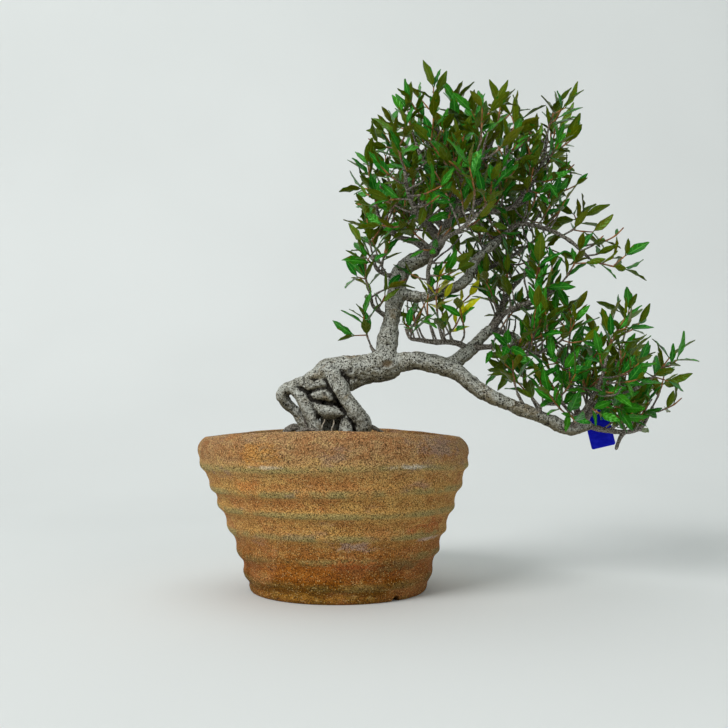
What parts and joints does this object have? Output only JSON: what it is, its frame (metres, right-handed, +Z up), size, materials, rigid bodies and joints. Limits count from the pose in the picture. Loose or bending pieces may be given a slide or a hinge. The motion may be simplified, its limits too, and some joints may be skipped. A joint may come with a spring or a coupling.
{
  "type": "asiatic jasmine bonsai in a clay pot",
  "caption": "Dwarf crinkled-leaf asiatic jasmine bonsai with exposed knotted roots, a leaning trunk and a falling branch, in a ridged unglazed clay pot.",
  "frame": {"origin": "middle of the pot's flat underside", "axes": "+Z up, -Y towards the viewer, +X towards the side on which the long branch falls"},
  "size_m": [0.248, 0.1338, 0.2636],
  "materials": {
    "clay": "rough unglazed",
    "soil": "granular",
    "bark": "pitted",
    "leaf": "satin",
    "tag_plastic": "gloss",
    "tag_wire": "satin"
  },
  "bodies": {
    "root": {"pot": "clay", "shoot_back_left_1": "leaf", "shoot_back_left_2": "leaf", "shoot_back_low_1": "leaf", "shoot_back_mid_1": "leaf", "shoot_back_mid_2": "leaf", "shoot_bright_twig_1": "leaf", "shoot_crest_1": "leaf", "shoot_crest_2": "leaf", "shoot_drop_left_1": "leaf", "shoot_drop_right_1": "leaf", "shoot_far_right_1": "leaf", "shoot_far_right_2": "leaf", "shoot_front_left_1": "leaf", "shoot_front_left_2": "leaf", "shoot_front_low_1": "leaf", "shoot_front_mid_1": "leaf", "shoot_front_mid_2": "leaf", "shoot_heart_left_1": "leaf", "shoot_left_bough_1": "leaf", "shoot_long_right_1": "leaf", "shoot_long_right_2": "leaf", "shoot_long_right_3": "leaf", "shoot_low_left_1": "leaf", "shoot_low_left_2": "leaf", "shoot_mid_left_1": "leaf", "shoot_middle_back_1": "leaf", "shoot_middle_back_2": "leaf", "shoot_middle_fork_1": "leaf", "shoot_middle_fork_2": "leaf", "shoot_middle_rise_1": "leaf", "shoot_middle_rise_2": "leaf", "shoot_neck_twig_1": "leaf", "shoot_rear_rise_1": "leaf", "shoot_rear_rise_2": "leaf", "shoot_right_rise_1": "leaf", "shoot_right_rise_2": "leaf", "shoot_side_twig_1": "leaf", "shoot_tip_back_1": "leaf", "shoot_tip_front_1": "leaf", "shoot_tip_low_1": "leaf", "shoot_tip_low_2": "leaf", "shoot_tip_right_1": "leaf", "shoot_tip_right_2": "leaf", "shoot_tip_rise_1": "leaf", "shoot_tip_rise_2": "leaf", "shoot_under_right_1": "leaf", "shoot_under_right_2": "leaf", "shoot_up_front_1": "leaf", "shoot_up_front_2": "leaf", "shoot_up_left_1": "leaf", "shoot_up_left_2": "leaf", "shoot_up_mid_1": "leaf", "shoot_up_mid_2": "leaf", "shoot_up_right_1": "leaf", "shoot_up_right_2": "leaf", "soil": "soil", "tag": "tag_plastic", "tag_loop": "tag_wire", "trunk_and_branches": "bark"}
  },
  "joints": []
}
